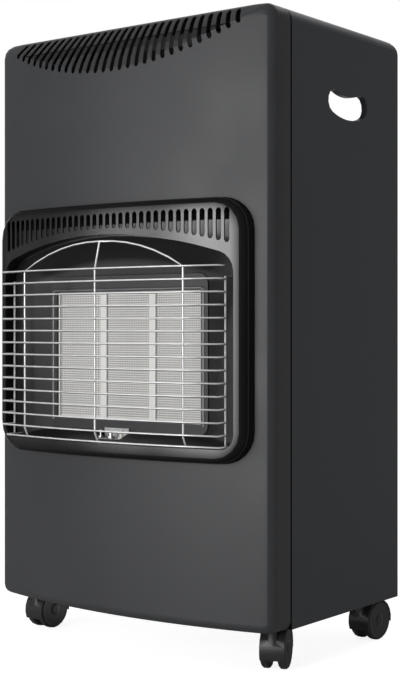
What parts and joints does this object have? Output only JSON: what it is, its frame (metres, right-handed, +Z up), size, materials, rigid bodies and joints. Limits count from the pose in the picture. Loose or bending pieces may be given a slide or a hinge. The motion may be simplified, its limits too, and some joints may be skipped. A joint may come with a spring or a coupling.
{
  "type": "portable gas cabinet heater",
  "caption": "Cabinet heater on twin-wheel castors with a bowed louvred front, a moulded surround, a wire guard over ceramic burner plaques and a rear cylinder bay.",
  "frame": {"origin": "on the floor under the middle of the heater's overall footprint, castor wheels touching z = 0", "axes": "+Z up, the burner and louvred front face -Y, +X to the viewer's right when facing the front"},
  "size_m": [0.42, 0.338, 0.749],
  "materials": {
    "front_paint": "satin dark grey coat",
    "side_paint": "satin darker grey coat",
    "moulded_surround": "gloss black moulding",
    "chrome_wire": "bright plated wire",
    "reflector_steel": "dull reflective sheet",
    "burner_steel": "bare pressed sheet",
    "ceramic": "matt perforated ceramic",
    "zinc_steel": "zinc-coated sheet",
    "brass": "machined",
    "copper": "drawn pipe, copper coloured",
    "insulator": "off-white insulator",
    "castor_plastic": "satin black moulding",
    "control_plastic": "satin black moulding",
    "button_plastic": "red push button"
  },
  "bodies": {
    "cabinet": {"front_panel": "front_paint", "side_panel_left": "side_paint", "side_panel_right": "side_paint", "top_panel": "side_paint", "base_tray": "zinc_steel", "heat_shield": "zinc_steel", "surround": "moulded_surround", "wire_guard": "chrome_wire", "reflector": "reflector_steel", "burner_frame": "burner_steel", "ceramic_plaque_left": "ceramic", "ceramic_plaque_middle": "ceramic", "ceramic_plaque_right": "ceramic", "burner_plenum": "zinc_steel", "gas_rail": "brass", "pilot_bracket": "zinc_steel", "thermocouple": "copper", "pilot_burner": "brass", "spark_electrode": "insulator", "gas_valve": "zinc_steel", "hose_nozzle": "brass", "supply_pipe": "copper", "control_plate": "control_plastic", "igniter_body": "insulator", "castor_socket_front_left": "zinc_steel", "castor_socket_front_right": "zinc_steel", "castor_socket_rear_left": "zinc_steel", "castor_socket_rear_right": "zinc_steel"},
    "knob_carrier": {"knob_collar": "insulator"},
    "knob": {"control_knob": "control_plastic", "valve_spindle": "zinc_steel"},
    "igniter_push": {"igniter_button": "button_plastic"},
    "cover": {"rear_cover": "side_paint"},
    "castor_front_left": {"castor_hood_front_left": "castor_plastic", "castor_stem_front_left": "zinc_steel", "castor_axle_front_left": "zinc_steel"},
    "wheel_a_front_left": {"castor_wheel_a_front_left": "castor_plastic"},
    "wheel_b_front_left": {"castor_wheel_b_front_left": "castor_plastic"},
    "castor_front_right": {"castor_hood_front_right": "castor_plastic", "castor_stem_front_right": "zinc_steel", "castor_axle_front_right": "zinc_steel"},
    "wheel_a_front_right": {"castor_wheel_a_front_right": "castor_plastic"},
    "wheel_b_front_right": {"castor_wheel_b_front_right": "castor_plastic"},
    "castor_rear_left": {"castor_hood_rear_left": "castor_plastic", "castor_stem_rear_left": "zinc_steel", "castor_axle_rear_left": "zinc_steel"},
    "wheel_a_rear_left": {"castor_wheel_a_rear_left": "castor_plastic"},
    "wheel_b_rear_left": {"castor_wheel_b_rear_left": "castor_plastic"},
    "castor_rear_right": {"castor_hood_rear_right": "castor_plastic", "castor_stem_rear_right": "zinc_steel", "castor_axle_rear_right": "zinc_steel"},
    "wheel_a_rear_right": {"castor_wheel_a_rear_right": "castor_plastic"},
    "wheel_b_rear_right": {"castor_wheel_b_rear_right": "castor_plastic"}
  },
  "joints": [
    {"name": "knob_push", "type": "slide", "parent": "cabinet", "child": "knob_carrier", "axis": [0, 0, -1], "range_m": [0, 0.003], "stiffness_N_per_m": 600, "springref_m": -0.002},
    {"name": "knob_turn", "type": "hinge", "parent": "knob_carrier", "child": "knob", "pos_m": [0.072, 0.0231, 0.731], "axis": [0, 0, 1], "range_deg": [0, 210]},
    {"name": "igniter_press", "type": "slide", "parent": "cabinet", "child": "igniter_push", "axis": [0, 0, -1], "range_m": [0, 0.006], "stiffness_N_per_m": 500, "springref_m": -0.002},
    {"name": "cover_pull", "type": "slide", "parent": "cabinet", "child": "cover", "axis": [0, 1, 0], "range_m": [0, 0.25]},
    {"name": "castor_swivel_front_left", "type": "hinge", "parent": "cabinet", "child": "castor_front_left", "pos_m": [-0.184, -0.0709, 0.024], "axis": [0, 0, 1], "continuous": true},
    {"name": "wheel_a_spin_front_left", "type": "hinge", "parent": "castor_front_left", "child": "wheel_a_front_left", "pos_m": [-0.18337, -0.05291, 0.024], "axis": [0.9994, -0.0349, 0], "continuous": true},
    {"name": "wheel_b_spin_front_left", "type": "hinge", "parent": "castor_front_left", "child": "wheel_b_front_left", "pos_m": [-0.18337, -0.05291, 0.024], "axis": [0.9994, -0.0349, 0], "continuous": true},
    {"name": "castor_swivel_front_right", "type": "hinge", "parent": "cabinet", "child": "castor_front_right", "pos_m": [0.184, -0.0709, 0.024], "axis": [0, 0, 1], "continuous": true},
    {"name": "wheel_a_spin_front_right", "type": "hinge", "parent": "castor_front_right", "child": "wheel_a_front_right", "pos_m": [0.17726, -0.05421, 0.024], "axis": [0.9272, 0.3746, 0], "continuous": true},
    {"name": "wheel_b_spin_front_right", "type": "hinge", "parent": "castor_front_right", "child": "wheel_b_front_right", "pos_m": [0.17726, -0.05421, 0.024], "axis": [0.9272, 0.3746, 0], "continuous": true},
    {"name": "castor_swivel_rear_left", "type": "hinge", "parent": "cabinet", "child": "castor_rear_left", "pos_m": [-0.184, 0.1245, 0.024], "axis": [0, 0, 1], "continuous": true},
    {"name": "wheel_a_spin_rear_left", "type": "hinge", "parent": "castor_rear_left", "child": "wheel_a_rear_left", "pos_m": [-0.18494, 0.14247, 0.024], "axis": [0.9986, 0.0523, 0], "continuous": true},
    {"name": "wheel_b_spin_rear_left", "type": "hinge", "parent": "castor_rear_left", "child": "wheel_b_rear_left", "pos_m": [-0.18494, 0.14247, 0.024], "axis": [0.9986, 0.0523, 0], "continuous": true},
    {"name": "castor_swivel_rear_right", "type": "hinge", "parent": "cabinet", "child": "castor_rear_right", "pos_m": [0.184, 0.1245, 0.024], "axis": [0, 0, 1], "continuous": true},
    {"name": "wheel_a_spin_rear_right", "type": "hinge", "parent": "castor_rear_right", "child": "wheel_a_rear_right", "pos_m": [0.18526, 0.14246, 0.024], "axis": [0.9976, -0.0698, 0], "continuous": true},
    {"name": "wheel_b_spin_rear_right", "type": "hinge", "parent": "castor_rear_right", "child": "wheel_b_rear_right", "pos_m": [0.18526, 0.14246, 0.024], "axis": [0.9976, -0.0698, 0], "continuous": true}
  ]
}
